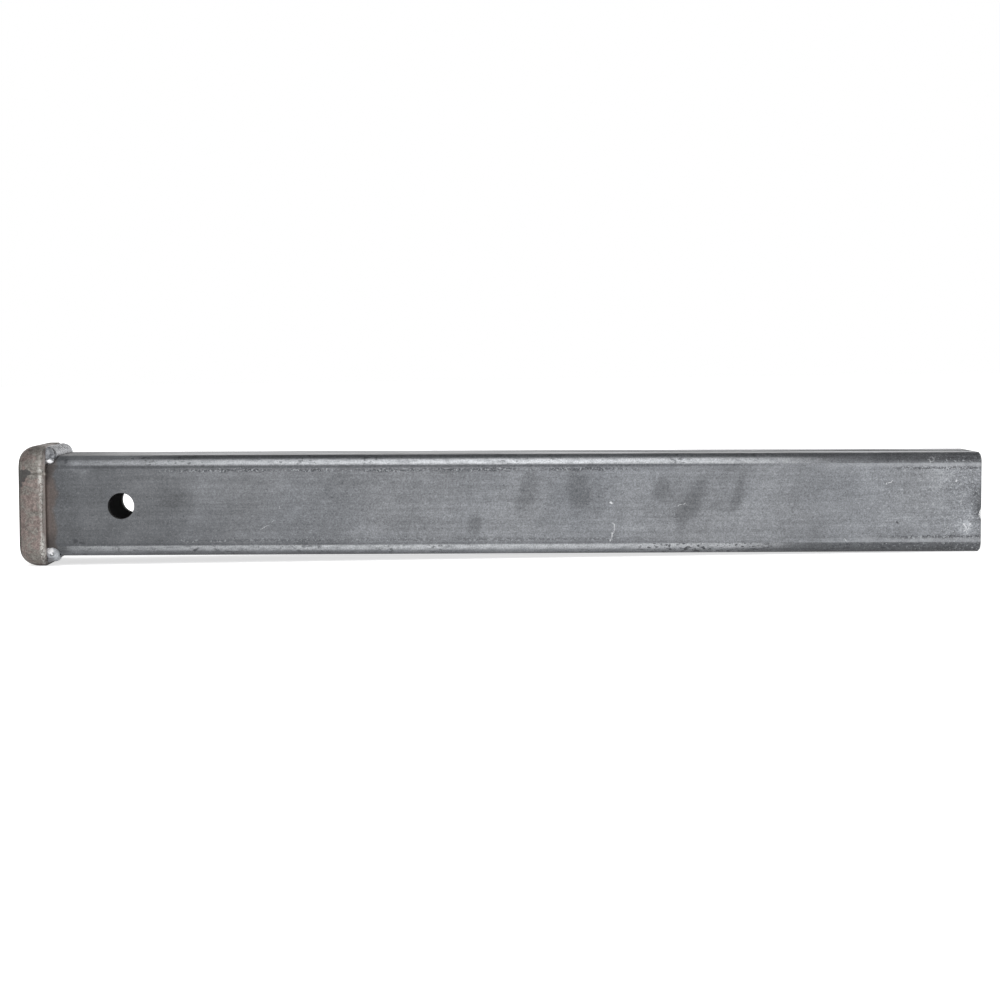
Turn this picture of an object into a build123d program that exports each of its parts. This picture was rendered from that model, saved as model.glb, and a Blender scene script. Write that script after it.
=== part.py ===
from build123d import *

import math
import os

# Receiver tube: a square steel tube, open at both ends, with a bent bar collar slipped over its
# mouth and held by one weld bead along the top face and one along the bottom face.
# The origin is the centre of the hitch pin hole, on the axis of the tube.
# X runs from the mouth to the rear end, Y along the pin, Z up. Lengths are in millimetres.

# Tube
tube_outer = 63.5
tube_wall = 6.15
tube_length = 609.6
tube_corner_radius = 6.7
tube_inner_corner_radius = 1.2
mouth_chamfer = 0.9
rear_inner_chamfer = 0.5
rear_outer_chamfer = 1.0

# Hitch pin hole, through both side walls
pin_hole_diameter = 16.5
pin_hole_from_mouth = 64.5

# Nick in the rear edge of the near side wall, a slanted wedge
nick_top = -3.1
nick_deepest = -8.4
nick_bottom = -11.4
nick_depth = 1.9
nick_reach = 2.6

# Collar, bent from flat bar, with its front dressed to a rounded nose
collar_clearance = 0.15
collar_thickness = 6.2
collar_width = 18.0
collar_corner_radius = 14.5
collar_back_chamfer = 2.0
nose_length = 12.0
nose_depth = 9.5

# Butt joint where the two ends of the bar meet, a groove on the near side
joint_height = 20.7
joint_width = 1.6
joint_depth = 0.7

# Weld beads, each a rippled fillet in the step behind the collar, the one below with a drop at its end
top_weld_leg = 7.0
top_weld_below_collar = 0.25
bottom_weld_leg = 5.5
bottom_weld_below_collar = 2.05
weld_end_reach = 1.8
ripple_pitch = 4.7
ripple_depth = 0.4
ripple_fall = 0.3
ripple_swell = 0.03
ripple_swell_turn = 2.2
end_rings = 4
drop_radius = 4.6
drop_from_collar = 3.0
drop_reach = 3.4

# Derived sizes
tube_opening = tube_outer - 2 * tube_wall
collar_inner = tube_outer + 2 * collar_clearance
collar_outer = collar_inner + 2 * collar_thickness
collar_inner_corner_radius = tube_corner_radius + collar_clearance
collar_step = (collar_outer - tube_outer) / 2
mouth_x = -pin_hole_from_mouth
rear_x = mouth_x + tube_length
collar_back_x = mouth_x + collar_width
cut_margin = 2.0

# Turn, in degrees, that lays the start line of a turned form inside the tube and the collar
buried_turn = 225


def square_bar(size, corner_radius, start_x, length):
    """A solid bar of rounded square section that lies along X."""
    section = Plane.YZ.offset(start_x) * RectangleRounded(size, size, corner_radius)
    return extrude(section, amount=length)


def nose_cutter():
    """What the rounded nose takes away: an elliptic round carried along all four sides."""
    top = collar_outer / 2
    straight = top - collar_corner_radius
    front = mouth_x - cut_margin
    nose_end = (mouth_x + nose_length, top)
    nose_start = (mouth_x, top - nose_depth)
    nose_centre = (mouth_x + nose_length, top - nose_depth)
    curve = EllipticalCenterArc(nose_centre, nose_length, nose_depth, 90, arc_size=90)
    outside = Polyline(
        nose_start,
        (front, top - nose_depth),
        (front, top + cut_margin),
        (mouth_x + nose_length, top + cut_margin),
        nose_end,
    )
    profile = Plane.XZ * make_face([curve, outside])
    side = extrude(profile, amount=straight, both=True)
    corner_axis = Axis((0, straight, straight), (1, 0, 0))
    corner = revolve(Pos(0, straight, 0) * profile, corner_axis, -90)
    cutter = side + corner
    for turn in (90, 180, 270):
        cutter += Rot(turn, 0, 0) * (side + corner)
    return cutter


def joint_groove():
    """The shallow V across the near side of the collar."""
    near = -collar_outer / 2
    mouth_side = Plane.YZ.offset(mouth_x - cut_margin)
    section = Polyline(
        (near - cut_margin, joint_height + joint_width / 2),
        (near, joint_height + joint_width / 2),
        (near + joint_depth, joint_height),
        (near, joint_height - joint_width / 2),
        (near - cut_margin, joint_height - joint_width / 2),
        close=True,
    )
    return extrude(mouth_side * make_face(section), amount=collar_width + 2 * cut_margin)


def tube_block():
    """The tube's outer form as a solid, with its rear edges broken."""
    block = square_bar(tube_outer, tube_corner_radius, mouth_x, tube_length)
    return chamfer(block.faces().sort_by(Axis.X)[-1].edges(), rear_outer_chamfer)


def collar_block():
    """The collar's outer form as a solid, with its back edges bevelled."""
    block = square_bar(collar_outer, collar_corner_radius, mouth_x, collar_width)
    return chamfer(block.faces().sort_by(Axis.X)[-1].edges(), collar_back_chamfer)


def edge_nick():
    """The wedge that is missing from the near side wall at the rear end."""
    section = Polyline(
        (rear_x + cut_margin, nick_top),
        (rear_x, nick_top),
        (rear_x - nick_depth, nick_deepest),
        (rear_x, nick_bottom),
        (rear_x + cut_margin, nick_bottom),
        close=True,
    )
    wall_side = Plane.XZ.offset(tube_outer / 2 - nick_reach)
    return extrude(wall_side * make_face(section), amount=nick_reach + cut_margin)


def receiver_tube():
    opening = square_bar(
        tube_opening, tube_inner_corner_radius, mouth_x - cut_margin, tube_length + 2 * cut_margin
    )
    pin_hole = Cylinder(pin_hole_diameter / 2, tube_outer + 2 * cut_margin, rotation=(90, 0, 0))
    tube = tube_block() - opening - nose_cutter() - pin_hole
    mouth_edges = tube.faces().sort_by(Axis.X)[0].inner_wires()[0].edges()
    tube = chamfer(mouth_edges, mouth_chamfer)
    rear_edges = tube.faces().sort_by(Axis.X)[-1].inner_wires()[0].edges()
    return chamfer(rear_edges, rear_inner_chamfer) - edge_nick()


def mouth_collar():
    opening = square_bar(
        collar_inner, collar_inner_corner_radius, mouth_x - cut_margin, collar_width + 2 * cut_margin
    )
    return collar_block() - opening - nose_cutter() - joint_groove()


def ripple_row(bead_radius):
    """Place along Y and radius of each ripple's crest, from one end of a bead to the other."""
    half_run = tube_outer / 2 + weld_end_reach - bead_radius
    steps = max(1, round(2 * half_run / ripple_pitch))
    pitch = 2 * half_run / steps
    row = []
    for step in range(steps + 1):
        shrink = ripple_swell * (1 + math.sin(ripple_swell_turn * step)) / 2
        row.append((step * pitch - half_run, bead_radius * (1 - shrink)))
    return row


def round_end(y, radius, from_angle, to_angle):
    """Rings that close a turned form round, as points from one angle to the other."""
    span = to_angle - from_angle
    angles = [math.radians(from_angle + span * ring / end_rings) for ring in range(end_rings + 1)]
    return [(y + radius * math.cos(angle), radius * math.sin(angle)) for angle in angles]


def turned_form(outline):
    """A solid turned about the Y axis, from an outline that starts and ends on that axis."""
    profile = Plane.YZ * make_face(Polyline(outline, close=True))
    return Rot(0, buried_turn, 0) * revolve(profile, Axis.Y, 360)


def rippled_form(bead_radius):
    """A bead turned about its seam: a round end, the ripples and a round end."""
    row = ripple_row(bead_radius)
    pitch = row[1][0] - row[0][0]
    outline = round_end(row[0][0], row[0][1], 180, 90)
    for (crest_y, crest_radius), next_crest in zip(row, row[1:]):
        outline.append((crest_y + ripple_fall * pitch, crest_radius - ripple_depth))
        outline.append(next_crest)
    return turned_form(outline + round_end(row[-1][0], row[-1][1], 90, 0)[1:])


def weld_bead(leg, below_collar, has_drop):
    """A bead for the top face. Only what stands outside tube and collar is kept."""
    height = collar_step - below_collar
    sink = (leg**2 - height**2) / (2 * height)
    seam = Pos(collar_back_x, 0, tube_outer / 2 - sink)
    bead = seam * rippled_form(height + sink)
    if has_drop:
        drop_y = drop_radius - tube_outer / 2 - drop_reach
        drop_outline = round_end(drop_y, drop_radius, 180, 90) + round_end(drop_y, drop_radius, 90, 0)[1:]
        bead += seam * Pos(drop_from_collar, 0, 0) * turned_form(drop_outline)
    return bead - tube_block() - collar_block()


os.makedirs("parts", exist_ok=True)
export_step(receiver_tube(), "parts/receiver_tube.step")
export_step(mouth_collar(), "parts/mouth_collar.step")
top_bead = weld_bead(top_weld_leg, top_weld_below_collar, False)
bottom_bead = weld_bead(bottom_weld_leg, bottom_weld_below_collar, True)
export_step(top_bead, "parts/weld_bead_top.step")
export_step(mirror(bottom_bead, Plane.XY), "parts/weld_bead_bottom.step")
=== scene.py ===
import math

import bmesh
import bpy
import numpy as np
from mathutils import Matrix, Vector, noise


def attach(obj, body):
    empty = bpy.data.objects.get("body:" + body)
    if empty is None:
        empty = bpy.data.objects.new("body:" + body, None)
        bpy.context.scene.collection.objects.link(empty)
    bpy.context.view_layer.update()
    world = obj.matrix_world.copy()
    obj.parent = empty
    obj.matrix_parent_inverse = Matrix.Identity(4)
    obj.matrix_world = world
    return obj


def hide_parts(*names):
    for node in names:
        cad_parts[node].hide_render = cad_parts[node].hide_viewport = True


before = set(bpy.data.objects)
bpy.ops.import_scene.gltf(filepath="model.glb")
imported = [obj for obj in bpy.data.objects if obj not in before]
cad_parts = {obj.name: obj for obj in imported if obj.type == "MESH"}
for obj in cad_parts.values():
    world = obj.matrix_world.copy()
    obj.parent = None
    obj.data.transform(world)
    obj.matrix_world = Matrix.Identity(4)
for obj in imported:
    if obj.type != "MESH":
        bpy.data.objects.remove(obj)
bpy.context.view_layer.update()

# A receiver tube of raw steel, with a bent bar collar and two weld beads, on a pale studio floor.
# The frame is the CAD's: X from the mouth to the rear end, Y along the pin, Z up, in metres.

MM = 0.001

# Sizes of the part, in millimetres, as its source has them
TUBE_HALF = 31.75
TUBE_CORNER = 6.7
TUBE_INNER_HALF = 25.6
FLAT_EDGE = TUBE_HALF - TUBE_CORNER
PIN_HOLE_RADIUS = 8.25
MOUTH_X = -64.5
REAR_X = 545.1
COLLAR_BACK_X = -46.5
COLLAR_HALF = 38.1
COLLAR_BEVEL = 2.0
JOINT_Z = 20.7

# Weld beads, in millimetres
TOP_BEAD_RADIUS = 7.07
TOP_BEAD_SINK = 0.97
BOTTOM_BEAD_RADIUS = 5.67
BOTTOM_BEAD_SINK = 1.37
BEAD_END_REACH = 1.8
BALL_INSET = 0.22
BALL_SWING = 0.2
MELT_VOXEL = 0.30
SEAT_DEPTH = 0.1
CUT_MARGIN = 4.0
RIPPLE_PITCH = 4.7
RIPPLE_DEPTH = 0.60
RIPPLE_BOW = 2.2
FINE_PITCH = 1.57
FINE_DEPTH = 0.04
ROUGH_DEPTH = 0.08

# Drops at the near end of each bead, as centre and half widths, and the pit in them as x and z,
# radius and depth. Both are given for the top face.
TOP_DROPS = [((-44.6, -31.5, 28.7), (3.3, 2.7, 2.3)), ((-45.5, -30.2, 33.3), (3.6, 3.4, 3.6))]
TOP_PIT = ((-43.2, 31.6), 1.0, 0.7)
BOTTOM_DROPS = [((-43.5, -30.5, 30.4), (4.4, 4.5, 4.4)), ((-42.7, -28.0, 32.6), (4.1, 3.0, 2.6))]
BOTTOM_PIT = ((-43.0, 30.4), 1.1, 0.55)

# Slivers, as centre and half width along their line: the burr in the nick, the lip at the joint
NICK_BURR = (
    ((544.7, -31.4, -4.4), 0.08), ((543.9, -31.7, -6.0), 0.42), ((543.6, -31.85, -7.8), 0.60),
    ((543.9, -31.8, -9.2), 0.62), ((544.5, -31.6, -10.2), 0.45), ((544.9, -31.4, -10.9), 0.10),
)
JOINT_LIP = (
    ((-47.4, -36.9, 23.4), 0.15), ((-46.9, -37.0, 22.0), 0.62), ((-46.75, -37.0, 20.4), 0.80),
    ((-46.9, -37.0, 18.8), 0.55), ((-47.4, -36.9, 17.6), 0.15),
)

# Camera, in metres and radians
CAMERA_PLACE = (0.212063, -1.41633, 0.09494)
CAMERA_PITCH = 0.0664862
CAMERA_YAW = 0.0194751
CAMERA_ROLL = -0.00322105
SENSOR = 36.0
LENS = 79.004

# The stage: half the floor's width in metres, and levels, where 1 is white
FLOOR_REACH = 9.0
ROOM_LIGHT = 0.8
BACKGROUND = 1.0
CEILING = 0.17
SIDE_FLAGS = 0.25
FLOOR_COLOUR = 0.85
FLOOR_LIFT = 0.66
FLOOR_LIFT_IN_METAL = 0.30

# Lamps, as place and target, width and height in metres, and level
LAMPS = {
    "key": ((0.05, -0.90, 0.80), (0.22, 0.0, 0.0), 1.1, 1.1, 1.5),
    "rim": ((0.24, 1.60, 0.42), (0.24, 0.0, 0.0), 2.4, 0.45, 0.6),
}

# Along the tube, from mouth to rear end: how light its scale is, with a painted sheen that grows towards the
# rear end, and how far its corners are rubbed
SCALE_AND_SHEEN_LEVELS = (
    (0.0, 0.46), (0.05, 0.48), (0.08, 0.55), (0.14, 0.60), (0.20, 0.72), (0.29, 0.77), (0.40, 0.89),
    (0.50, 0.93), (0.62, 0.99), (0.80, 0.99), (0.92, 1.12),
)
# The rubbed strips also carry a painted highlight of the lamps, which these tables fade out towards the rear
# end
RUB_AND_HIGHLIGHT_ABOVE = (
    (0.0, 0.0), (0.045, 0.0), (0.065, 0.12), (0.12, 0.27), (0.24, 0.50), (0.40, 0.72), (0.50, 0.90),
    (0.55, 0.97), (0.70, 0.85), (0.78, 0.55), (0.85, 0.05), (0.90, 0.0),
)
RUB_AND_HIGHLIGHT_BELOW = (
    (0.0, 0.05), (0.045, 0.15), (0.055, 0.30), (0.068, 0.42), (0.085, 0.55), (0.12, 0.55), (0.24, 0.70),
    (0.40, 1.0), (0.60, 0.85), (0.72, 0.80), (0.76, 0.62), (0.79, 0.28), (0.81, 0.04), (0.86, 0.0),
)

# Hand marks on the tube's near face, as x and z, half length and half height, lean, and how dark
HAND_MARKS = (
    (33, 6, 12, 12, 0.0, 0.24),
    (223, -12, 5, 8, 0.0, 0.28),
    (256, 8, 8, 15, 0.25, 0.30),
    (288, 8, 9, 15, -0.1, 0.30),
    (341, 9, 8, 9, 0.0, 0.26),
    (360, 0, 7, 20, 0.5, 0.28),
    (391, 8, 4, 16, 0.3, 0.24),
    (-29, 24.5, 12, 3.4, 0.0, -0.45),
    (18, -16, 14, 5, 0.0, -0.16),
    (520, 19, 10, 6, 0.0, -0.14),
    (534, 9, 16, 1.8, 0.0, 0.20),
    (505, 3, 30, 3.0, 0.0, 0.06),
    (505, -7, 26, 3.0, 0.0, 0.08),
    (534, -17, 5, 7, 0.0, -0.42),
)
NICK_MARK = (544, -2, 6, 13)

# Small dark spots on the near face, as x and z, half length and half height
DARK_SPOTS = (
    (-33, 29.0, 2.0, 1.2),
    (-30, -21.5, 1.6, 2.2),
    (-25, -24, 3.8, 1.1),
    (52, 24.5, 1.6, 1.0),
    (47, -28.0, 3.2, 1.2),
    (491, -12.0, 1.0, 1.0),
)
PIT_CLUSTER_X = 366.0

# Light scratches on the near face, as start and end in x and z, half width and strength, and a ring
SCRATCHES = (
    ((310.8, -12.0), (310.0, -18.5), 0.30, 1.0),
    ((310.4, -17.5), (308.6, -24.5), 0.42, 1.0),
    ((309.6, 0.4), (310.6, 0.9), 0.9, 2.5),
    ((93.4, -10.0), (95.0, -8.6), 0.28, 1.0),
    ((99.4, -0.4), (100.8, -1.8), 0.22, 1.0),
    ((352, -1.0), (357, -0.6), 0.12, 1.0),
    ((484, 11.5), (489, 14.5), 0.22, 1.0),
    ((530.6, -1.5), (533.4, 5.0), 0.2, 0.6),
    ((528.0, 12.8), (529.4, 14.6), 0.6, 1.0),
    ((458.4, -21.4), (459.8, -23.6), 0.4, 1.0),
    ((85, -14.5), (92, -14.0), 0.12, 0.6),
    ((533, -19), (538, -15), 0.4, 1.0),
    ((534, -14), (536, -20), 0.35, 1.0),
)
RING_PLACE = (513.0, 27.4)
RING_RADIUS = 1.5

# Stains on the collar, as how far behind the mouth and above the joint, half length and half height
JOINT_STAINS = ((2.6, -1.4, 4.4, 3.8), (5.6, 0.8, 4.0, 2.2), (1.0, -7.0, 2.4, 6.0))
# The painted shade on the far part of the collar's top is centred at this x
FAR_PATCH_X = -55.0

# On the bottom bead's drop: its painted highlight, its pit, painted dark as shade, and the painted glint
# in that, as x and z, half length, half height and lean
DROP_HIGHLIGHT = (-45.6, -27.2, 3.4, 2.9, -0.6)
DROP_PIT = (-43.0, -30.2, 1.9, 1.5, 0.3)
PIT_GLINT = (-43.4, -29.8, 0.75, 0.8, -0.5)

# Colours of the tube. Where there are two, a mask leads from the first to the second.
STEEL = ((0.220, 0.232, 0.251), (0.243, 0.249, 0.260))
# Rubbed steel with a painted highlight in it
RUBBED_STEEL_AND_HIGHLIGHT = ((0.50, 0.52, 0.54), (0.64, 0.65, 0.67))
DARK_PIT = (0.062, 0.064, 0.070)
WORN_STEEL = (0.42, 0.43, 0.45)
LIGHT_FLECK = (0.50, 0.52, 0.54)
BARE_SCRATCH = (0.72, 0.73, 0.75)
# Heat tint, and the same tint painted lighter beside the collar, against its shadow
HEAT_TINT_AND_PAINTED_LIGHT = ((0.128, 0.102, 0.091), (0.215, 0.171, 0.153))
SOOT = (0.055, 0.052, 0.052)
SAWN_STEEL = (0.42, 0.42, 0.42)
# Dark scale inside, painted darker as shade, and the pin hole's wall painted darker still, as shade
INNER_SCALE_AND_SHADE = (0.030, 0.029, 0.029)
BORE_SHADE = (0.012, 0.012, 0.013)

# Colours of the collar
COLLAR_SCALE = ((0.238, 0.195, 0.181), (0.226, 0.211, 0.194))
COLLAR_FLAKE = (0.33, 0.325, 0.30)
COLLAR_SPOT = (0.095, 0.088, 0.082)
# The collar's rubbed edge with a painted highlight
RUBBED_EDGE_AND_HIGHLIGHT = ((0.58, 0.57, 0.54), (0.78, 0.77, 0.73))
# Painted light on the bevel
BEVEL_PAINTED_LIGHT = (0.40, 0.36, 0.34)
LOW_CORNER_SCALE = (0.095, 0.078, 0.078)
# Painted shade on the collar's rim
RIM_SHADE = ((0.034, 0.032, 0.031), (0.086, 0.080, 0.075))
BACK_SCALE = ((0.155, 0.125, 0.110), (0.36, 0.35, 0.35))
JOINT_SCALE = ((0.050, 0.051, 0.054), (0.115, 0.112, 0.108))
# Painted light in the joint's groove
GROOVE_PAINTED_LIGHT = (0.46, 0.43, 0.40)

# Colours of the weld beads and of the burr
WELD_METAL = ((0.193, 0.191, 0.203), (0.283, 0.294, 0.311))
# Painted highlight of the bottom drop
BOTTOM_DROP_HIGHLIGHT = ((0.62, 0.64, 0.67), (0.98, 0.98, 1.0))
TOP_DROP = ((0.175, 0.184, 0.198), (0.30, 0.309, 0.327))
# Painted highlight under the top drop
TOP_LOW_END_HIGHLIGHT = (0.84, 0.84, 0.86)
# Painted shade in the bottom drop's pit, and its painted glint
PIT_SHADE = (0.09, 0.095, 0.10)
PIT_HIGHLIGHT = (0.95, 0.95, 0.97)
DROP_TAIL = (0.60, 0.62, 0.65)
WELD_SOOT = (0.15, 0.155, 0.165)
WELD_VALLEY = (0.10, 0.10, 0.11)
BURR_METAL = ((0.36, 0.37, 0.38), (0.82, 0.83, 0.85))


# Stage


def make_camera():
    forward = Vector((math.sin(CAMERA_YAW), math.cos(CAMERA_YAW), 0))
    level_right = Vector((math.cos(CAMERA_YAW), -math.sin(CAMERA_YAW), 0))
    level_up = Vector((0, 0, 1))
    look = forward * math.cos(CAMERA_PITCH) - level_up * math.sin(CAMERA_PITCH)
    up = level_up * math.cos(CAMERA_PITCH) + forward * math.sin(CAMERA_PITCH)
    cos_roll, sin_roll = math.cos(CAMERA_ROLL), math.sin(CAMERA_ROLL)
    right_axis = level_right * cos_roll + up * sin_roll
    up_axis = up * cos_roll - level_right * sin_roll
    data = bpy.data.cameras.new("camera")
    data.sensor_width = SENSOR
    data.lens = LENS
    data.clip_start = 0.01
    data.clip_end = 50
    camera = bpy.data.objects.new("camera", data)
    turn = Matrix((right_axis, up_axis, -look)).transposed()
    camera.matrix_world = Matrix.Translation(CAMERA_PLACE) @ turn.to_4x4()
    bpy.context.scene.collection.objects.link(camera)
    bpy.context.scene.camera = camera


def softbox(name, place, target, width, height, radiance):
    """A rectangular lamp that faces target and looks as bright as radiance, where 1 is white."""
    data = bpy.data.lights.new(name, "AREA")
    data.shape = "RECTANGLE"
    data.size = width
    data.size_y = height
    data.energy = radiance * math.pi * width * height
    lamp = bpy.data.objects.new(name, data)
    lamp.location = place
    lamp.rotation_mode = "QUATERNION"
    lamp.rotation_quaternion = (Vector(target) - Vector(place)).to_track_quat("-Z", "Y")
    lamp.visible_camera = False
    bpy.context.scene.collection.objects.link(lamp)


class Graph:
    """A node tree, with one short call for each kind of node."""

    def __init__(self, tree):
        self.tree = tree
        tree.nodes.clear()

    def add(self, kind, inputs=(), **settings):
        node = self.tree.nodes.new(kind)
        for name, value in settings.items():
            setattr(node, name, value)
        for key, value in dict(inputs).items():
            socket = node.inputs[key]
            if isinstance(value, bpy.types.NodeSocket):
                self.tree.links.new(value, socket)
            else:
                socket.default_value = value
        return node

    def math(self, operation, first, second=0.0, third=0.0):
        values = {0: first, 1: second, 2: third}
        return self.add("ShaderNodeMath", values, operation=operation).outputs[0]

    def chain(self, operation, values):
        """All the values in one, by the same operation from first to last."""
        result = values[0]
        for value in values[1:]:
            result = self.math(operation, result, value)
        return result

    def total(self, *values):
        return self.chain("ADD", values)

    def product(self, *values):
        return self.chain("MULTIPLY", values)

    def highest(self, *values):
        return self.chain("MAXIMUM", values)

    def gap(self, value, centre):
        """How far value is from centre, on either side."""
        return self.math("ABSOLUTE", self.math("SUBTRACT", value, centre))

    def rise(self, value, start, end, low=0.0, high=1.0):
        """Goes smoothly from low at start to high at end."""
        inputs = {"Value": value, "From Min": start, "From Max": end, "To Min": low, "To Max": high}
        return self.add("ShaderNodeMapRange", inputs, interpolation_type="SMOOTHSTEP").outputs[0]

    def steps(self, value, levels):
        """Follows levels, pairs of a place and the factor there, in straight lines."""
        node = self.add("ShaderNodeValToRGB", {0: value})
        elements = node.color_ramp.elements
        elements.remove(elements[1])
        for number, (place, level) in enumerate(levels):
            element = elements[0] if number == 0 else elements.new(place)
            element.position = place
            element.color = (level, level, level, 1)
        return node.outputs[0]

    def vector_math(self, operation, first, second):
        return self.add("ShaderNodeVectorMath", {0: first, 1: second}, operation=operation).outputs[0]

    def scaled(self, vector, by):
        return self.vector_math("MULTIPLY", vector, by)

    def noise(self, vector, size, detail=3.0, rough=0.5, distortion=0.0):
        """Noise whose features are about size long, from 0 to 1 round a half."""
        inputs = {"Vector": vector, "Scale": 1.0 / size, "Detail": detail, "Roughness": rough}
        inputs["Distortion"] = distortion
        return self.add("ShaderNodeTexNoise", inputs).outputs[0]

    def warp(self, size, reach):
        """x, y and z of the place, bent by noise with features about size long and a swing of reach."""
        inputs = {"Vector": self.place, "Scale": 1.0 / size, "Detail": 4.0}
        colour = self.add("ShaderNodeTexNoise", inputs).outputs[1]
        shift = self.scaled(self.vector_math("SUBTRACT", colour, (0.5,) * 3), (reach,) * 3)
        return self.add("ShaderNodeSeparateXYZ", {0: self.vector_math("ADD", self.place, shift)}).outputs

    def swing(self, value, amount):
        """A factor near 1, which a noise value moves by amount at the most."""
        return self.math("MULTIPLY_ADD", self.math("SUBTRACT", value, 0.5), 2 * amount, 1.0)

    def mix(self, mask, low, high):
        """The colour low where mask is 0, high where it is 1."""
        node = self.add("ShaderNodeMix", data_type="RGBA")
        for key, value in {0: mask, 6: low, 7: high}.items():
            if isinstance(value, bpy.types.NodeSocket):
                self.tree.links.new(value, node.inputs[key])
            else:
                node.inputs[key].default_value = value if key == 0 else (*value, 1.0)
        return node.outputs[2]

    def tone(self, colour, factor):
        """The colour, made lighter or darker by a factor."""
        factors = self.add("ShaderNodeCombineXYZ", {0: factor, 1: factor, 2: factor}).outputs[0]
        return self.scaled(colour, factors)

    def finish(self, kind, shader):
        self.tree.links.new(shader, self.add(kind).inputs["Surface"])


def background_rays(graph):
    """1 for the rays that show the white background: camera, glossy and transmission rays."""
    path = graph.add("ShaderNodeLightPath").outputs
    return graph.highest(path["Is Camera Ray"], path["Is Glossy Ray"], path["Is Transmission Ray"])


def make_world():
    world = bpy.data.worlds.new("studio")
    world.use_nodes = True
    bpy.context.scene.world = world
    graph = Graph(world.node_tree)
    path = graph.add("ShaderNodeLightPath").outputs
    direction = graph.add("ShaderNodeTexCoord").outputs["Generated"]
    way = graph.add("ShaderNodeSeparateXYZ", {0: direction}).outputs
    flags = graph.rise(graph.math("ABSOLUTE", way[0]), 0.78, 0.95, 1.0, SIDE_FLAGS)
    room = graph.product(graph.rise(way[2], 0.30, 0.62, BACKGROUND, CEILING), flags)
    glossy = graph.highest(path["Is Glossy Ray"], path["Is Transmission Ray"])
    level = graph.math("MULTIPLY_ADD", path["Is Camera Ray"], BACKGROUND, graph.product(glossy, room))
    lamp = graph.product(graph.math("SUBTRACT", 1.0, background_rays(graph)), ROOM_LIGHT)
    inputs = {"Color": (1, 1, 1, 1), "Strength": graph.total(level, lamp)}
    graph.finish("ShaderNodeOutputWorld", graph.add("ShaderNodeBackground", inputs).outputs[0])


def make_floor():
    """The floor meets the collar's underside and the tube's rear bottom edge, as the part rests."""
    slope = (COLLAR_HALF - TUBE_HALF) / (REAR_X - COLLAR_BACK_X)
    corners = []
    touch_x = (COLLAR_BACK_X - COLLAR_BEVEL) * MM
    for side_x, side_y in ((-1, -1), (1, -1), (1, 1), (-1, 1)):
        x, y = side_x * FLOOR_REACH, side_y * FLOOR_REACH
        corners.append((x, y, -COLLAR_HALF * MM + slope * (x - touch_x)))
    mesh = bpy.data.meshes.new("floor")
    mesh.from_pydata(corners, [], [(0, 1, 2, 3)])
    floor = bpy.data.objects.new("floor", mesh)
    bpy.context.scene.collection.objects.link(floor)
    material = bpy.data.materials.new("floor")
    material.use_nodes = True
    graph = Graph(material.node_tree)
    paper = graph.add("ShaderNodeBsdfDiffuse", {"Color": (FLOOR_COLOUR,) * 3 + (1,)})
    path = graph.add("ShaderNodeLightPath").outputs
    mirrored = graph.highest(path["Is Glossy Ray"], path["Is Transmission Ray"])
    in_metal = graph.product(mirrored, FLOOR_LIFT_IN_METAL)
    level = graph.math("MULTIPLY_ADD", path["Is Camera Ray"], FLOOR_LIFT, in_metal)
    lift = graph.add("ShaderNodeEmission", {"Strength": level})
    both = graph.add("ShaderNodeAddShader", {0: paper.outputs[0], 1: lift.outputs[0]})
    graph.finish("ShaderNodeOutputMaterial", both.outputs[0])
    mesh.materials.append(material)


# Materials


def new_material(name):
    """A material and its graph, which has the place in millimetres and its distances to the axis."""
    material = bpy.data.materials.new(name)
    material.use_nodes = True
    graph = Graph(material.node_tree)
    place = graph.add("ShaderNodeTexCoord").outputs["Object"]
    graph.place = graph.scaled(place, (1 / MM,) * 3)
    graph.x, graph.y, graph.z = graph.add("ShaderNodeSeparateXYZ", {0: graph.place}).outputs
    graph.wide, graph.tall = graph.math("ABSOLUTE", graph.y), graph.math("ABSOLUTE", graph.z)
    return material, graph


def finish_metal(graph, colour, metallic, roughness, height, bump_depth, specular=0.5):
    """The metal shader. height runs from 0 to 1 over bump_depth millimetres."""
    inputs = {"Height": height, "Distance": bump_depth * MM, "Strength": 1.0}
    bump = graph.add("ShaderNodeBump", inputs).outputs[0]
    inputs = {"Base Color": colour, "Metallic": metallic, "Roughness": roughness, "Normal": bump}
    inputs["Specular IOR Level"] = specular
    graph.finish("ShaderNodeOutputMaterial", graph.add("ShaderNodeBsdfPrincipled", inputs).outputs[0])


def smudge(graph, places, x, z, half_length, half_height, lean=0.0):
    """A soft oval mark on the near face, 1 in its middle. places are x, y and z of the surface."""
    across = graph.math("SUBTRACT", places[0], x)
    up = graph.math("SUBTRACT", places[2], z)
    along = graph.math("MULTIPLY_ADD", up, -lean, across)
    far = graph.math("POWER", graph.math("DIVIDE", along, half_length), 2.0)
    high = graph.math("POWER", graph.math("DIVIDE", up, half_height), 2.0)
    return graph.rise(graph.total(far, high), 1.3, 0.0)


def scratch(graph, places, start, end, half_width):
    """A thin straight mark on the near face, from start to end as x and z."""
    run = Vector(end) - Vector(start)
    length = run.length
    along_x, along_z = run / length
    dx = graph.math("SUBTRACT", places[0], start[0])
    dz = graph.math("SUBTRACT", places[2], start[1])
    along = graph.math("MULTIPLY_ADD", dx, along_x, graph.product(dz, along_z))
    across = graph.math("MULTIPLY_ADD", dx, -along_z, graph.product(dz, along_x))
    inside = graph.rise(graph.gap(along, length / 2), length / 2 + 0.3, length / 2 - 0.4)
    thin = graph.rise(graph.math("ABSOLUTE", across), half_width * 1.4, half_width * 0.4)
    return graph.product(inside, thin)


def from_axis(graph, x, z):
    """How far a place is from the line along Y at x and z."""
    across, up = graph.math("SUBTRACT", graph.x, x), graph.math("SUBTRACT", graph.z, z)
    return graph.math("SQRT", graph.total(graph.product(across, across), graph.product(up, up)))


# Tube material


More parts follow.
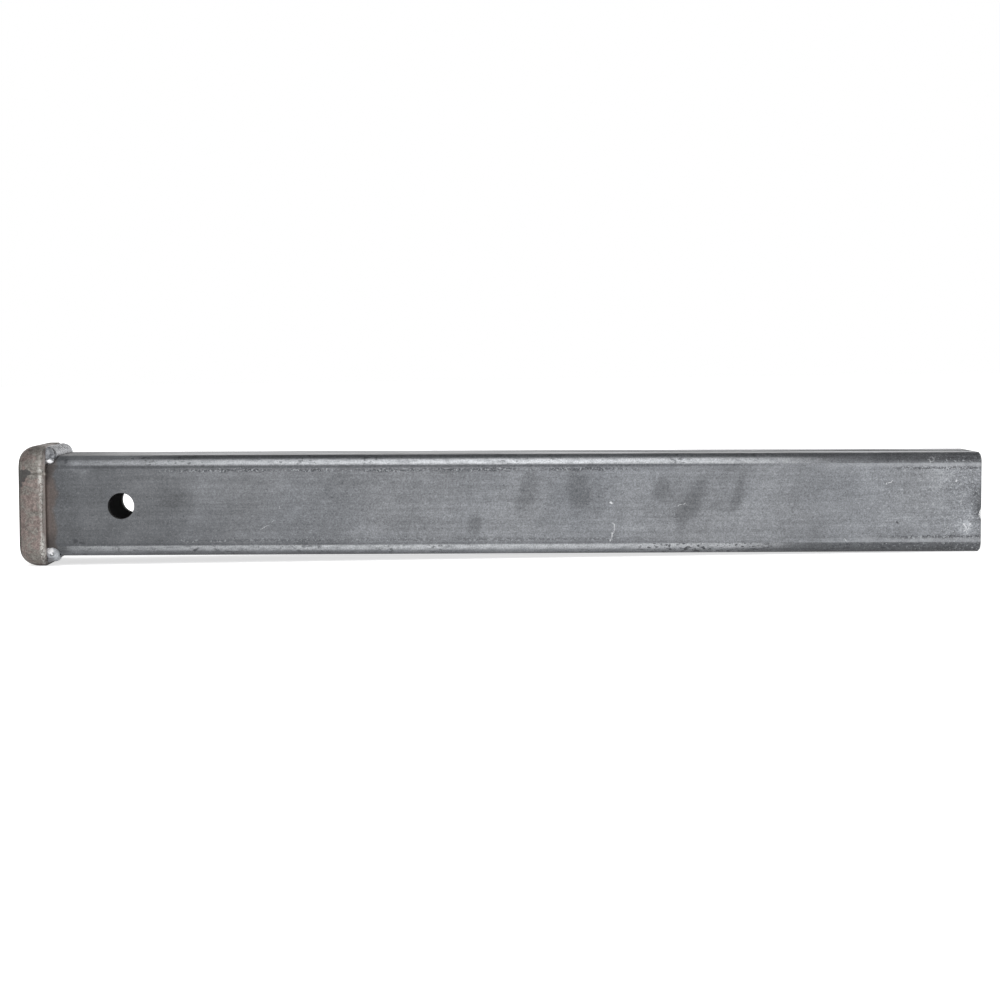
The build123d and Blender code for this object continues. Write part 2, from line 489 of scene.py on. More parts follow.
def measure_tube(graph):
    """Measures and noises that several marks share. turn goes round a corner, from side face to top."""
    place, wide, tall = graph.place, graph.wide, graph.tall
    graph.near = graph.rise(graph.y, -TUBE_HALF + 4.5, -TUBE_HALF + 3.0)
    graph.along = graph.math("DIVIDE", graph.math("SUBTRACT", graph.x, MOUTH_X), REAR_X - MOUTH_X)
    graph.upper_half = graph.rise(graph.z, -1.0, 1.0)
    graph.lower_half = graph.rise(graph.z, 1.0, -1.0)
    graph.corner = graph.math("MINIMUM", wide, tall)
    graph.outer = graph.rise(graph.highest(wide, tall), TUBE_INNER_HALF + 0.3, TUBE_INNER_HALF + 0.8)
    graph.on_corner = graph.product(graph.outer, graph.rise(graph.corner, FLAT_EDGE - 0.1, FLAT_EDGE + 0.3))
    above, beside = graph.math("SUBTRACT", tall, FLAT_EDGE), graph.math("SUBTRACT", wide, FLAT_EDGE)
    graph.turn = graph.math("ARCTAN2", above, beside)
    graph.warped = graph.warp(7.0, 9.0)
    graph.mottle = graph.noise(place, 6.5, 3.0, 0.6, 0.4)
    graph.grain = graph.noise(place, 1.5, 3.0, 0.75)
    graph.chips = graph.noise(place, 1.5, 3.0, 0.7)
    graph.speckle = graph.noise(place, 0.7, 1.0, 0.5)


def rise_by_turn(graph, turn, start, end, low=0.0, high=1.0):
    """Goes from low to high round a corner, from start to end in degrees."""
    return graph.rise(turn, math.radians(start), math.radians(end), low, high)


def scale_and_sheen_tone(graph):
    """Clouds, mottling, rolling streaks and grain, darker by the hole than towards the rear end: darker
    scale by the hole, and a painted sheen of the lamps that grows towards the rear end.
    """
    place, along = graph.place, graph.along
    clouds = graph.noise(place, 38.0, 3.0, 0.55)
    streaks = graph.noise(graph.scaled(place, (0.02, 1.0, 1.0)), 2.6, 3.0, 0.6)
    drawn = graph.noise(graph.scaled(place, (0.12, 1.0, 1.0)), 0.9, 2.0, 0.6)
    fine = graph.product(
        graph.swing(drawn, 0.22), graph.swing(graph.grain, 0.40), graph.swing(graph.speckle, 0.62)
    )
    strength = graph.total(graph.rise(along, 0.05, 0.40, 0.55, 0.9), graph.rise(along, 0.93, 1.0, 0.0, 0.4))
    return graph.product(
        graph.swing(clouds, 0.40),
        graph.swing(graph.mottle, 0.22),
        graph.swing(streaks, 0.26),
        graph.math("POWER", fine, strength),
        graph.steps(along, SCALE_AND_SHEEN_LEVELS),
    )


def hand_marks(graph):
    """What hands have left on the near face, as a factor of its lightness."""
    marks = []
    for *oval, depth in HAND_MARKS:
        marks.append(graph.product(smudge(graph, graph.warped, *oval), depth))
    nick_depth = graph.rise(graph.mottle, 0.35, 0.65, 0.58, 0.32)
    marks.append(graph.product(smudge(graph, graph.warped, *NICK_MARK), nick_depth))
    return graph.math("SUBTRACT", 1.0, graph.product(graph.near, graph.total(*marks)))


def rubbed_strip_and_highlight(graph):
    """The strip of each corner, beside the side face, that is rubbed bright and carries a painted highlight
    of the lamps, fading out where that highlight ends towards the rear end.
    """
    turn = graph.math("MULTIPLY_ADD", graph.rise(graph.z, 5.0, -5.0), math.radians(9), graph.turn)
    wear = graph.noise(graph.scaled(graph.place, (0.3, 1, 1)), 2.0, 4.0, 0.7)
    above = graph.product(graph.steps(graph.along, RUB_AND_HIGHLIGHT_ABOVE), graph.upper_half)
    below = graph.product(graph.steps(graph.along, RUB_AND_HIGHLIGHT_BELOW), graph.lower_half)
    return graph.product(
        graph.on_corner,
        rise_by_turn(graph, turn, 50, 28),
        graph.rise(wear, 0.30, 0.56, 0.35, 1.0),
        graph.highest(above, below),
    )


def corner_shade(graph):
    """How much painted shade darkens each corner: towards the top, and all of it at the rear end, where the
    lamps' highlight ends.
    """
    shade = graph.product(graph.on_corner, rise_by_turn(graph, graph.turn, 42, 56), 0.12)
    below = graph.rise(graph.z, 1.0, -1.0, 0.0, 0.05)
    upturn = graph.product(graph.turn, graph.upper_half)
    rear_end = graph.product(
        graph.on_corner,
        graph.rise(graph.total(graph.along, below), 0.74, 0.88),
        rise_by_turn(graph, upturn, 25, 45, 0.48, 0.17),
    )
    return graph.highest(shade, rear_end)


def top_shade(graph):
    """How much the top face is dulled: streaks, its long seam, and the part by the collar."""
    along = graph.along
    upper = graph.rise(graph.z, TUBE_HALF - 0.3, TUBE_HALF - 0.05)
    streaks = graph.noise(graph.scaled(graph.place, (0.05, 0.25, 1.0)), 3.0, 3.0, 0.6)
    seam_y = graph.rise(along, 0.50, 0.62, 13.0, -1.0)
    seam = graph.product(
        graph.rise(graph.gap(graph.y, seam_y), 9.0, 3.0),
        graph.total(graph.rise(along, 0.35, 0.75, 0.0, 0.6), graph.rise(along, 0.78, 0.86, 0.0, 0.3)),
    )
    by_collar = graph.rise(along, 0.12, 0.06, 0.0, 0.3)
    return graph.product(upper, graph.highest(graph.rise(streaks, 0.40, 0.65, 0.0, 0.18), seam, by_collar))


def corner_band(graph, turn, edge, core, fade):
    """A band along the upper corners, round turn in degrees, that fades out along the tube."""
    gap = graph.gap(graph.turn, math.radians(turn))
    return graph.product(
        graph.on_corner,
        rise_by_turn(graph, gap, edge, core),
        graph.rise(graph.along, *fade),
        graph.upper_half,
    )


def corner_light(graph):
    """Painted light and shade on each corner behind the collar, as a factor of its lightness: lighter by the
    collar, the painted shadow of the weld beads, and a light and a dark band of painted reflection.
    """
    lower = graph.rise(graph.z, 5.0, -5.0)
    turn = graph.math("MULTIPLY_ADD", lower, math.radians(16), graph.turn)
    by_collar = graph.product(
        graph.on_corner,
        rise_by_turn(graph, turn, 42, 56),
        graph.rise(graph.along, 0.18, 0.10),
        graph.rise(graph.z, 5.0, -5.0, 2.0, 0.7),
    )
    # Painted shadow of the weld beads on the corners beside them
    weld_shadow = graph.product(
        graph.on_corner, rise_by_turn(graph, turn, 68, 54), graph.rise(graph.x, -30.0, -36.0)
    )
    low_band = corner_band(graph, 43, 10, 4, (0.17, 0.12))
    dark_band = corner_band(graph, 77, 7, 3, (0.38, 0.28))
    return graph.product(
        graph.math("ADD", by_collar, 1.0),
        graph.math("MULTIPLY_ADD", weld_shadow, graph.rise(graph.z, 5.0, -5.0, -0.25, -0.40), 1.0),
        graph.math("MULTIPLY_ADD", low_band, 0.6, 1.0),
        graph.math("MULTIPLY_ADD", dark_band, -0.55, 1.0),
    )


def chipped_edges(graph):
    """Where the edges of the flat faces are chipped: along the middle and at the rear end."""
    along = graph.along
    wave = graph.noise(graph.scaled(graph.place, (0.5, 1, 1)), 2.5, 3.0, 0.7)
    waver = graph.math("MULTIPLY_ADD", wave, 4.0, graph.corner)
    middle = graph.product(
        graph.rise(along, 0.10, 0.20),
        graph.rise(along, 0.58, 0.70, 1.0, 0.1),
        graph.rise(graph.noise(graph.place, 18.0, 2.0), 0.36, 0.54, 0.5, 1.0),
        graph.rise(graph.z, -5.0, 5.0, 0.6, 1.0),
    )
    return graph.product(
        graph.outer,
        graph.rise(graph.gap(waver, FLAT_EDGE - 0.9), 1.6, 0.5),
        graph.highest(middle, graph.rise(along, 0.88, 0.93)),
    )


def edge_line(graph, chipped):
    """The dark pitted line along each edge of the flat faces."""
    line = graph.product(
        graph.outer,
        graph.rise(graph.gap(graph.corner, FLAT_EDGE - 0.5), 0.5, 1.6, 0.9, 0.0),
        graph.rise(graph.chips, 0.25, 0.55, 1.0, 0.7),
        graph.rise(graph.along, 0.86, 0.62),
        graph.rise(graph.z, -5.0, 5.0, 0.55, 1.0),
    )
    more_chips = graph.math("MULTIPLY_ADD", graph.rise(graph.along, 0.85, 0.93), 0.035, graph.chips)
    return graph.highest(line, graph.product(chipped, graph.rise(more_chips, 0.48, 0.54)))


def corner_pits(graph):
    """Pits in clouds along the corners, and one cluster below."""
    clouds = graph.rise(graph.noise(graph.place, 26.0, 2.0), 0.50, 0.60, 0.0, 0.7)
    cluster = graph.product(graph.rise(graph.gap(graph.x, PIT_CLUSTER_X), 48.0, 30.0), graph.lower_half)
    pits = graph.noise(graph.scaled(graph.place, (0.5, 1, 1)), 1.5, 2.0, 0.6)
    return graph.product(graph.on_corner, graph.highest(clouds, cluster), graph.rise(pits, 0.55, 0.61))


def dark_marks(graph, chipped):
    """All that is dark on the outer faces: the edge line, the pits and the spots on the near face."""
    spots = [smudge(graph, graph.warped, *oval) for oval in DARK_SPOTS]
    pits = graph.rise(graph.noise(graph.place, 1.9, 2.0, 0.6), 0.66, 0.74)
    return graph.highest(
        edge_line(graph, chipped),
        corner_pits(graph),
        graph.product(graph.near, graph.highest(*spots)),
        graph.product(pits, graph.outer, 0.6),
    )


def light_marks(graph):
    """Small light scratches and a ring on the near face."""
    marks = []
    for start, end, half_width, strength in SCRATCHES:
        marks.append(graph.product(scratch(graph, graph.warped, start, end, half_width), strength))
    ring_gap = graph.gap(from_axis(graph, *RING_PLACE), RING_RADIUS)
    marks.append(graph.rise(ring_gap, 0.15, 0.55, 0.45, 0.0))
    patchy = graph.rise(graph.noise(graph.place, 1.2, 2.0), 0.36, 0.54, 0.3, 1.0)
    return graph.product(graph.near, graph.highest(*marks), patchy)


def light_flecks(graph, chipped):
    """Light flecks, thicker towards the rear end and along the chipped edges."""
    spread = graph.math("MULTIPLY_ADD", graph.noise(graph.place, 12.0, 3.0), 0.3, graph.along)
    loose = graph.product(
        graph.rise(graph.chips, 0.58, 0.66), graph.rise(spread, 1.02, 1.14, 0.12, 1.0), graph.outer
    )
    return graph.highest(loose, graph.product(chipped, graph.rise(graph.chips, 0.45, 0.38), 0.8))


def worn_edges(graph):
    """Bare metal beside the edges of the flat faces, towards the rear end."""
    return graph.product(
        graph.outer,
        graph.rise(graph.gap(graph.corner, FLAT_EDGE - 1.2), 2.4, 0.6),
        graph.rise(graph.along, 0.78, 0.98, 0.0, 0.5),
        graph.rise(graph.mottle, 0.35, 0.6, 0.5, 1.0),
    )


def add_heat(graph, colour):
    """The brown tint and the soot that the welding leaves behind the collar. Right beside the collar the
    tint is painted lighter, against the collar's shadow there.
    """
    bend = graph.math("SUBTRACT", graph.noise(graph.place, 14.0, 2.0), 0.5)
    heat = graph.rise(graph.total(graph.x, graph.product(bend, 9.0)), -39.0, -43.0)
    # Painted light: the tint is lighter right beside the collar's back, where its shadow falls
    beside = graph.product(
        graph.rise(graph.x, -44.0, -46.0), graph.rise(graph.z, 18.0, 12.0), graph.rise(graph.z, -24.0, -18.0)
    )
    tint = graph.tone(graph.mix(beside, *HEAT_TINT_AND_PAINTED_LIGHT), graph.swing(graph.grain, 0.6))
    colour = graph.mix(graph.product(heat, 0.75), colour, tint)
    scorch = graph.product(heat, graph.rise(graph.tall, 12.0, 24.0))
    return graph.mix(graph.product(scorch, 0.65), colour, SOOT)


def add_sawn_end(graph, colour):
    """The cut rear end is bright sawn steel."""
    saw_marks = graph.noise(graph.scaled(graph.place, (1, 1, 0.04)), 0.5, 2.0)
    sawn = graph.product(graph.rise(graph.x, REAR_X - 0.25, REAR_X - 0.05), graph.swing(saw_marks, 0.3))
    return graph.mix(graph.product(sawn, 0.7), colour, SAWN_STEEL)


def tube_material():
    material, graph = new_material("tube_mill_scale")
    measure_tube(graph)
    chipped = chipped_edges(graph)
    dark = dark_marks(graph, chipped)
    light = light_marks(graph)
    dull_top = top_shade(graph)

    shade = graph.math("SUBTRACT", 1.0, graph.highest(corner_shade(graph), dull_top))
    tone = graph.product(scale_and_sheen_tone(graph), hand_marks(graph), shade, corner_light(graph))
    colour = graph.tone(graph.mix(graph.noise(graph.place, 60.0, 2.0), *STEEL), tone)
    # Rubbed bright steel with a painted highlight, on the strips of the corners
    bright = graph.tone(graph.mix(graph.grain, *RUBBED_STEEL_AND_HIGHLIGHT), graph.swing(graph.speckle, 0.6))
    colour = graph.mix(graph.product(rubbed_strip_and_highlight(graph), 0.9), colour, bright)
    colour = graph.mix(graph.product(dark, 0.85), colour, DARK_PIT)
    colour = graph.mix(worn_edges(graph), colour, WORN_STEEL)
    colour = graph.mix(graph.product(light_flecks(graph, chipped), 0.7), colour, LIGHT_FLECK)
    colour = graph.mix(graph.product(light, 0.85), colour, BARE_SCRATCH)
    colour = add_heat(graph, colour)
    colour = add_sawn_end(graph, colour)

    # The inside is dark scale, painted darker as the shade in the tube, and the wall of the pin hole is
    # painted darker still, as the shade in the hole
    inner = graph.rise(graph.highest(graph.wide, graph.tall), TUBE_INNER_HALF + 0.3, TUBE_INNER_HALF + 0.1)
    colour = graph.mix(graph.product(inner, 0.85), colour, INNER_SCALE_AND_SHADE)
    bored = graph.rise(from_axis(graph, 0.0, 0.0), PIN_HOLE_RADIUS + 0.10, PIN_HOLE_RADIUS + 0.02)
    colour = graph.mix(bored, colour, BORE_SHADE)

    dull = graph.highest(inner, graph.product(bored, 1.6), graph.product(dull_top, 1.4))
    roughness = graph.math("MULTIPLY_ADD", dull, 0.3, graph.math("MULTIPLY_ADD", graph.grain, 0.22, 0.26))
    scaly = graph.highest(graph.product(inner, 0.6), bored, graph.product(dull_top, 0.6))
    metallic = graph.math("MULTIPLY_ADD", scaly, -0.85, 0.85)
    height = graph.total(
        graph.product(graph.grain, 0.6),
        graph.product(graph.mottle, 0.5),
        graph.product(dark, -0.8),
        graph.product(light, -0.3),
    )
    finish_metal(graph, colour, metallic, roughness, height, 0.06)
    return material


# Collar material


def add_rubbed_edge_and_painted_light(graph, colour):
    """The edge before the back bevel is rubbed bright and carries a painted highlight, the bevel is painted
    lighter, as light on it, the low corner is dark.
    """
    x, z = graph.x, graph.z
    edge_x = COLLAR_BACK_X - COLLAR_BEVEL
    middle = graph.rise(graph.gap(z, -6.0), 17.0, 10.0)
    edge_gap = graph.gap(x, graph.rise(z, -14.0, -20.0, edge_x - 0.55, edge_x + 0.2))
    narrowed = graph.product(edge_gap, graph.math("MULTIPLY_ADD", middle, 0.7, 1.0))
    # Rubbed bright edge with a painted highlight, narrow and dimmer in the middle, brighter low down
    edge = graph.product(
        graph.rise(narrowed, 2.6, 0.3),
        graph.rise(graph.noise(graph.place, 1.5, 4.0, 0.8), 0.44, 0.55, 0.05, 1.0),
        graph.rise(z, 22.0, 30.0, 1.0, 0.35),
        graph.math("MULTIPLY_ADD", middle, -0.42, 1.0),
    )
    edge_colour = graph.mix(graph.rise(z, -14.0, -20.0), *RUBBED_EDGE_AND_HIGHLIGHT)
    colour = graph.mix(graph.product(edge, 0.95), colour, edge_colour)
    # Painted light: the bevel is lighter, as light falling on it, and more so at the top, where weld metal
    # covers it
    bevel = graph.product(
        graph.rise(x, edge_x + 0.5, edge_x + 1.0),
        graph.rise(z, 22.0, 27.0, 0.5, 0.85),
        graph.rise(z, -32.0, -28.0),
    )
    colour = graph.mix(bevel, colour, BEVEL_PAINTED_LIGHT)
    low_corner = graph.product(graph.rise(x, edge_x - 4.0, edge_x + 1.0), graph.rise(z, -29.0, -34.0))
    return graph.mix(graph.product(low_corner, 0.6), colour, LOW_CORNER_SCALE)


def collar_rim_shade(graph):
    """Painted shade on the collar: its front edge, its underside and the far part of its top."""
    far_patch = graph.product(
        graph.rise(graph.gap(graph.x, FAR_PATCH_X), 3.6, 2.0),
        graph.rise(graph.y, 4.0, 14.0),
        graph.rise(graph.z, COLLAR_HALF - 1.5, COLLAR_HALF - 0.6),
    )
    return graph.highest(
        graph.rise(graph.x, MOUTH_X + 2.6, MOUTH_X + 1.0),
        graph.rise(graph.z, 1.3 - COLLAR_HALF, 0.4 - COLLAR_HALF),
        graph.product(
            graph.rise(graph.z, COLLAR_HALF - 1.0, COLLAR_HALF - 0.2), graph.rise(graph.y, 0.0, 20.0), 0.7
        ),
        far_patch,
    )


def joint_scale(graph, near, mottle):
    """Dark scale round the joint, mostly at its mouth side."""
    warped = graph.warp(5.0, 7.0)
    stains = []
    for behind, above, *halves in JOINT_STAINS:
        stains.append(smudge(graph, warped, MOUTH_X + behind, JOINT_Z + above, *halves))
    stain = graph.rise(graph.highest(*stains), 0.15, 0.45)
    wobble = graph.math("SUBTRACT", graph.noise(graph.place, 5.0, 4.0, 0.65, 0.6), 0.5)
    line_gap = graph.math("MULTIPLY_ADD", wobble, 5.0, graph.math("SUBTRACT", graph.z, JOINT_Z))
    line = graph.product(
        graph.rise(graph.math("ABSOLUTE", line_gap), 2.0, 0.3),
        graph.rise(graph.x, -60.0, -50.0, 0.8, 0.2),
        graph.rise(mottle, 0.35, 0.6, 1.0, 0.3),
    )
    return graph.product(near, graph.highest(stain, line))


def collar_material():
    material, graph = new_material("collar_scale")
    place, x, z = graph.place, graph.x, graph.z
    near = graph.rise(graph.y, -COLLAR_HALF + 8.0, -COLLAR_HALF + 4.0)
    patches = graph.noise(place, 8.0, 3.0, 0.6, 0.8)
    mottle = graph.noise(place, 2.6, 3.0, 0.65)
    grain = graph.noise(place, 1.2, 3.0, 0.75)
    pepper = graph.noise(place, 0.8, 1.0, 0.5)
    tone = graph.product(graph.swing(mottle, 0.72), graph.swing(grain, 0.80), graph.swing(pepper, 0.4))

    colour = graph.tone(graph.mix(graph.rise(patches, 0.40, 0.58), *COLLAR_SCALE), tone)
    flakes = graph.product(
        graph.rise(graph.noise(place, 2.4, 4.0, 0.75, 0.5), 0.53, 0.62),
        graph.rise(patches, 0.36, 0.58, 0.15, 0.7),
    )
    colour = graph.mix(flakes, colour, COLLAR_FLAKE)
    spots = graph.rise(graph.noise(place, 4.0, 4.0, 0.65, 0.8), 0.58, 0.70)
    colour = graph.mix(graph.product(spots, 0.55), colour, COLLAR_SPOT)
    colour = add_rubbed_edge_and_painted_light(graph, colour)
    # The rim is painted dark, as shade on the front edge, the underside and the far top
    rim = collar_rim_shade(graph)
    rim_colour = graph.mix(graph.rise(mottle, 0.35, 0.65), *RIM_SHADE)
    colour = graph.mix(graph.product(rim, 0.85), colour, rim_colour)

    # Scorched scale on the back face, by the welds
    back = graph.rise(x, COLLAR_BACK_X - 0.3, COLLAR_BACK_X - 0.02)
    back_colour = graph.mix(graph.rise(graph.tall, 25.0, 28.0), *BACK_SCALE)
    colour = graph.mix(graph.product(back, 0.85), colour, back_colour)

    # The joint is dark, and towards the back its groove is painted lighter, as light over the groove's shade
    dark = joint_scale(graph, near, mottle)
    colour = graph.mix(graph.product(dark, 0.85), colour, graph.mix(grain, *JOINT_SCALE))
    groove_light = graph.product(
        near,
        graph.rise(graph.gap(z, JOINT_Z), 1.2, 0.4),
        graph.rise(x, -56.5, -53.0),
        graph.rise(mottle, 0.35, 0.55, 0.4, 1.0),
    )
    colour = graph.mix(graph.product(groove_light, 0.6), colour, GROOVE_PAINTED_LIGHT)

    roughness = graph.total(graph.math("MULTIPLY_ADD", mottle, 0.2, 0.42), graph.product(rim, 0.4))
    height = graph.total(
        graph.product(mottle, 0.5),
        graph.product(grain, 0.35),
        graph.product(flakes, 0.5),
        graph.product(dark, -0.5),
    )
    metallic = graph.math("MULTIPLY_ADD", rim, -0.7, 0.7)
    finish_metal(graph, colour, metallic, roughness, height, 0.16, 0.0)
    return material


# Weld and burr materials


def add_drops(graph, near, patches, colour):
    """The drops at the near ends of both beads, as the new colour and how metallic it is."""
    x, y, z = graph.x, graph.y, graph.z
    bright, hollow, glint = [smudge(graph, (x, y, z), *oval) for oval in (DROP_HIGHLIGHT, DROP_PIT, PIT_GLINT)]

    # The bottom drop is painted bright, as its highlight, brightest at its upper left
    drop = graph.product(near, graph.rise(z, -20.0, -24.0), graph.rise(z, -32.5, -30.0, 0.05, 0.9))
    drop_tone = graph.rise(bright, 0.1, 0.6)
    colour = graph.mix(drop, colour, graph.mix(drop_tone, *BOTTOM_DROP_HIGHLIGHT))

    # The near end of the top bead is painted bright under its drop, as the floor's reflection there
    low_end_highlight = graph.product(
        near,
        graph.rise(z, 30.2, 28.9),
        graph.rise(z, 20.0, 24.0),
        graph.rise(patches, 0.35, 0.55, 0.6, 1.0),
    )
    colour = graph.mix(low_end_highlight, colour, TOP_LOW_END_HIGHLIGHT)

    # The bottom drop's pit is painted dark as shade, with a painted glint in it, and a light tail behind it
    colour = graph.mix(graph.product(near, graph.rise(hollow, 0.1, 0.5), 0.8), colour, PIT_SHADE)
    colour = graph.mix(graph.product(near, graph.rise(glint, 0.1, 0.5)), colour, PIT_HIGHLIGHT)
    tail = graph.product(
        graph.rise(y, -25.5, -27.5), graph.rise(z, -26.5, -28.5), graph.rise(x, -42.8, -40.5)
    )
    colour = graph.mix(graph.product(tail, 0.8), colour, DROP_TAIL)
    top_drop = graph.product(near, graph.rise(z, 29.0, 30.5))
    colour = graph.mix(graph.product(top_drop, 0.8), colour, graph.mix(patches, *TOP_DROP))

    metallic = graph.math("MULTIPLY_ADD", graph.highest(drop, top_drop, tail), -0.55, 0.92)
    metallic = graph.math("MULTIPLY_ADD", graph.product(drop, drop_tone), -0.32, metallic)
    return colour, metallic


def weld_material():
    material, graph = new_material("weld_metal")
    place = graph.place
    near = graph.rise(graph.y, -30.0, -31.5)
    patches = graph.noise(place, 3.0, 3.0, 0.6, 0.5)
    grain = graph.noise(place, 0.7, 3.0, 0.7)
    colour = graph.mix(graph.rise(patches, 0.35, 0.68), *WELD_METAL)
    colour = graph.tone(colour, graph.swing(grain, 0.3))
    colour, metallic = add_drops(graph, near, patches, colour)

    # Soot in patches, and dark valleys between the ripples
    soot = graph.rise(graph.noise(place, 4.5, 4.0, 0.65, 1.0), 0.55, 0.70)
    colour = graph.mix(graph.product(soot, 0.4), colour, WELD_SOOT)
    pointed = graph.add("ShaderNodeNewGeometry").outputs["Pointiness"]
    valley = graph.product(graph.rise(pointed, 0.50, 0.43), graph.math("MULTIPLY_ADD", near, -0.7, 1.0))
    colour = graph.mix(graph.product(valley, 0.7), colour, WELD_VALLEY)

    roughness = graph.math("MULTIPLY_ADD", patches, 0.25, 0.16)
    height = graph.total(graph.product(patches, 0.5), graph.product(grain, 0.5))
    finish_metal(graph, colour, metallic, roughness, height, 0.10)
    return material


def burr_material():
    material, graph = new_material("burr_bright")
    grain = graph.noise(graph.place, 0.5, 3.0, 0.7)
    colour = graph.mix(graph.rise(grain, 0.40, 0.60), *BURR_METAL)
    roughness = graph.math("MULTIPLY_ADD", grain, 0.3, 0.15)
    finish_metal(graph, colour, 0.9, roughness, grain, 0.05)
    return material


# Weld beads


def closed_piece(name, points, faces):
    """A piece of closed form, from points in metres, with all its faces turned outwards."""
    mesh = bpy.data.meshes.new(name)
    mesh.from_pydata(points, [], faces)
    mesh.validate()
    edit = bmesh.new()
    edit.from_mesh(mesh)
    bmesh.ops.recalc_face_normals(edit, faces=edit.faces)
    edit.to_mesh(mesh)
    edit.free()
    piece = bpy.data.objects.new(name, mesh)
    bpy.context.scene.collection.objects.link(piece)
    return piece


def cross_bar(name, half, corner, start_x, end_x):
    """A closed bar of rounded square section along X, for cutting the beads."""
    steps = 8
    ring = []
    for quarter in range(4):
        turn = quarter * math.pi / 2
        middle = turn + math.pi / 4
        centre = (half - corner) * math.sqrt(2)
        for step in range(steps + 1):
            angle = turn + step * math.pi / 2 / steps
            y = centre * math.cos(middle) + corner * math.cos(angle)
            z = centre * math.sin(middle) + corner * math.sin(angle)
            ring.append((y, z))
    count = len(ring)
    points = [(x * MM, y * MM, z * MM) for x in (start_x, end_x) for y, z in ring]
    faces = [(i, (i + 1) % count, count + (i + 1) % count, count + i) for i in range(count)]
    faces += [tuple(reversed(range(count))), tuple(range(count, 2 * count))]
    return closed_piece(name, points, faces)


def settle(piece):
    """Takes the piece's modifiers into its mesh."""
    depsgraph = bpy.context.evaluated_depsgraph_get()
    mesh = bpy.data.meshes.new_from_object(piece.evaluated_get(depsgraph))
    piece.modifiers.clear()
    old = piece.data
    piece.data = mesh
    bpy.data.meshes.remove(old)


def bead_balls(radius, sink, drops):
    """Centre and half widths of the balls that the bead of the top face is melted from."""
    half_run = TUBE_HALF + BEAD_END_REACH - radius
    balls = []
    steps = round(2 * half_run)
    for step in range(steps + 1):
        y = -half_run + 2 * half_run * step / steps
        size = radius - BALL_INSET + BALL_SWING * noise.noise(Vector((0.3, y / 7.0, 1.7)))
        balls.append(((COLLAR_BACK_X, y, TUBE_HALF - sink), (size, size, size)))
    return balls + drops


def crater(place, centre, radius, depth):
    """A pit with a raised rim in the near side of a drop, centre as x and z."""
    x, y, z = place
    if y > -TUBE_HALF + 1.5:
        return 0.0
    gap = math.hypot(x - centre[0], z - centre[1]) / radius
    return depth * (0.6 * math.exp(-(((gap - 1.5) / 0.45) ** 2)) - math.exp(-gap * gap))


def ripple_height(place, sink):
    """How far the surface of a bead of the top face stands proud of its smooth form, in millimetres."""
    x, y, z = place
    section = math.atan2(z - TUBE_HALF + sink, x - COLLAR_BACK_X)
    bow = RIPPLE_BOW * (1 - ((section - math.pi / 4) / (math.pi / 4)) ** 2)
    travel = y + bow + 0.5 * noise.noise(Vector((x / 3.0, y / 3.0, z / 3.0)))
    coarse = 2 * ((travel / RIPPLE_PITCH) % 1.0) - 1
    fine = math.sin(2 * math.pi * travel / FINE_PITCH)
    rough = noise.fractal(Vector(place) / 1.6, 1.0, 2.0, 3)
    calm = min(1.0, max(0.15, (y + TUBE_HALF - 1.0) / 6.0))
    crest = math.sqrt(max(0.0, 1 - coarse * coarse))
    return calm * (RIPPLE_DEPTH * (crest - 1) + FINE_DEPTH * fine) + ROUGH_DEPTH * rough


def melted_balls(name, balls):
    """A piece melted from balls, given as centre and half widths in millimetres."""
    edit = bmesh.new()
    for centre, halves in balls:
        place = Matrix.Translation(centre) @ Matrix.Diagonal((*halves, 1.0))
        bmesh.ops.create_icosphere(edit, subdivisions=4, radius=1.0, matrix=place)
    mesh = bpy.data.meshes.new(name)
    edit.to_mesh(mesh)
    edit.free()
    piece = bpy.data.objects.new(name, mesh)
    bpy.context.scene.collection.objects.link(piece)
    melt = piece.modifiers.new("melt", "REMESH")
    melt.mode = "VOXEL"
    melt.voxel_size = MELT_VOXEL
    settle(piece)
    return piece


def raise_ripples(piece, sink, pit):
    """Moves each point along its normal by the ripples and the pit, and turns millimetres into metres."""
    mesh = piece.data
    count = len(mesh.vertices)
    places = np.empty(count * 3, np.float32)
    mesh.vertices.foreach_get("co", places)
    normals = np.empty(count * 3, np.float32)
    mesh.vertex_normals.foreach_get("vector", normals)
    places, normals = places.reshape(-1, 3), normals.reshape(-1, 3)
    proud = np.array([ripple_height(place, sink) + crater(place, *pit) for place in places])
    places = (places + normals * proud[:, None]) * MM
    mesh.vertices.foreach_set("co", places.astype(np.float32).ravel())
    mesh.update()


def seat(piece):
    """Cuts the bead to the tube and the collar, a little inside their faces, so that it touches both."""
    for cutter in (
        cross_bar("cut_tube", TUBE_HALF - SEAT_DEPTH, TUBE_CORNER, MOUTH_X, REAR_X),
        cross_bar("cut_collar", COLLAR_HALF + CUT_MARGIN, 1.0, MOUTH_X, COLLAR_BACK_X - SEAT_DEPTH),
    ):
        cut = piece.modifiers.new("cut", "BOOLEAN")
        cut.operation = "DIFFERENCE"
        cut.solver = "EXACT"
        cut.object = cutter
        settle(piece)
        bpy.data.objects.remove(cutter)


def shade_smooth(piece, material):
    mesh = piece.data
    for face in mesh.polygons:
        face.use_smooth = True
    mesh.materials.clear()
    mesh.materials.append(material)


def weld_piece(name, node, radius, sink, drops, pit, up, material):
    """A bead made for the top face, and turned over where up is False."""
    piece = melted_balls(name, bead_balls(radius, sink, drops))
    raise_ripples(piece, sink, pit)
    seat(piece)
    if not up:
        piece.data.transform(Matrix.Diagonal((1, 1, -1, 1)))
        piece.data.flip_normals()
    shade_smooth(piece, material)
    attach(piece, "root")
    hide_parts(node)


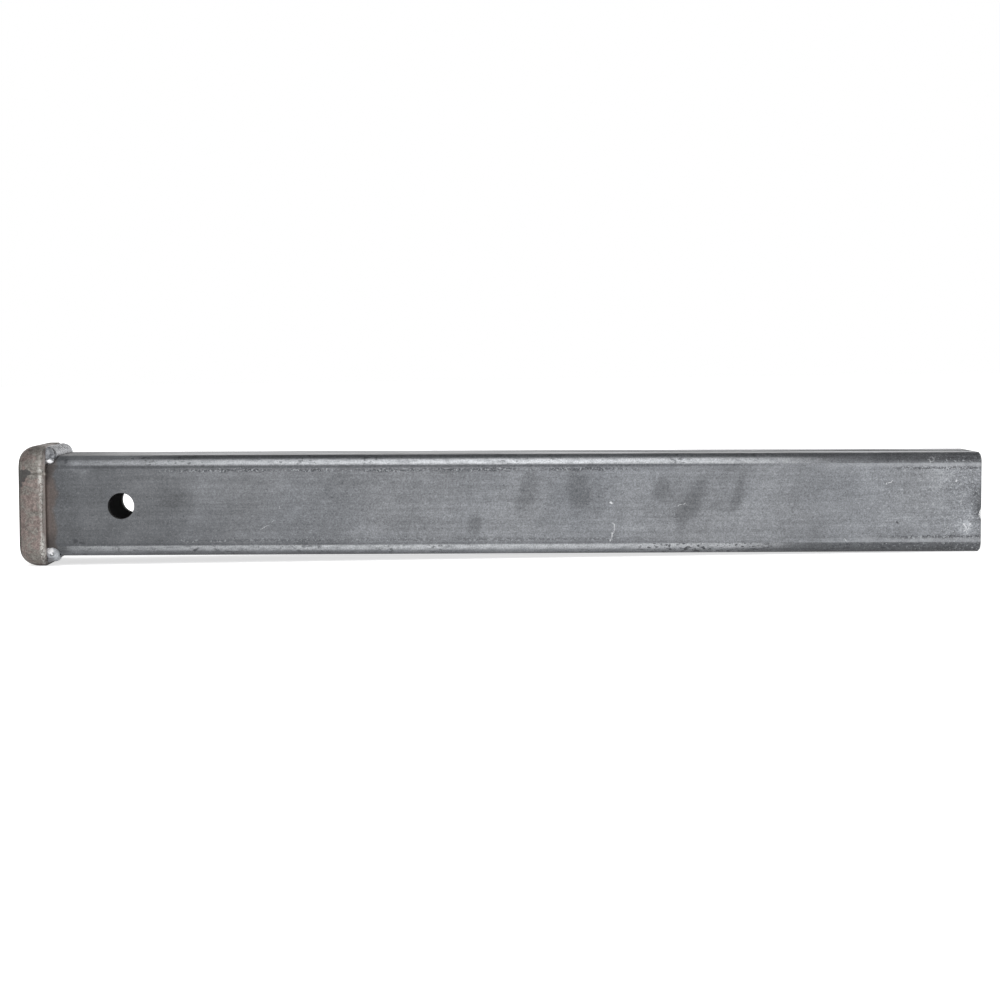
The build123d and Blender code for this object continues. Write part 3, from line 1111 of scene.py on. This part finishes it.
def sliver(name, line, material):
    """A thin curl of metal of round section, given as places and half widths along its line."""
    sides = 10
    finer = 5
    rings = []
    for (start, start_half), (end, end_half) in zip(line, line[1:]):
        for step in range(finer):
            part = step / finer
            half = start_half + (end_half - start_half) * part
            rings.append((Vector(start).lerp(Vector(end), part), half))
    rings.append((Vector(line[-1][0]), line[-1][1]))
    points = []
    for number, (centre, half) in enumerate(rings):
        before = rings[max(0, number - 1)][0]
        after = rings[min(len(rings) - 1, number + 1)][0]
        ahead = (after - before).normalized()
        side = ahead.cross(Vector((0, 1, 0))).normalized()
        out = ahead.cross(side)
        for step in range(sides):
            angle = 2 * math.pi * step / sides
            rough = 1 + 0.25 * noise.noise(centre * 1.3 + Vector((angle, 0, 0)))
            points.append((centre + (side * math.cos(angle) + out * math.sin(angle)) * half * rough) * MM)
    faces = [tuple(range(sides)), tuple(reversed(range(len(points) - sides, len(points))))]
    for ring in range(len(rings) - 1):
        low, high = ring * sides, (ring + 1) * sides
        for step in range(sides):
            after = (step + 1) % sides
            faces.append((low + step, high + step, high + after, low + after))
    piece = closed_piece(name, points, faces)
    shade_smooth(piece, material)
    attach(piece, "root")


# Assembly

bpy.context.scene.view_settings.view_transform = "Standard"
make_camera()
make_world()
make_floor()
for lamp_name, lamp in LAMPS.items():
    softbox(lamp_name, *lamp)

collar_scale = collar_material()
for node, made in {"receiver_tube": tube_material(), "mouth_collar": collar_scale}.items():
    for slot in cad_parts[node].material_slots:
        slot.material = made

weld_metal = weld_material()
top_bead = (TOP_BEAD_RADIUS, TOP_BEAD_SINK, TOP_DROPS, TOP_PIT)
bottom_bead = (BOTTOM_BEAD_RADIUS, BOTTOM_BEAD_SINK, BOTTOM_DROPS, BOTTOM_PIT)
weld_piece("weld_top", "weld_bead_top", *top_bead, True, weld_metal)
weld_piece("weld_bottom", "weld_bead_bottom", *bottom_bead, False, weld_metal)
sliver("nick_burr", NICK_BURR, burr_material())
sliver("joint_lip", JOINT_LIP, collar_scale)
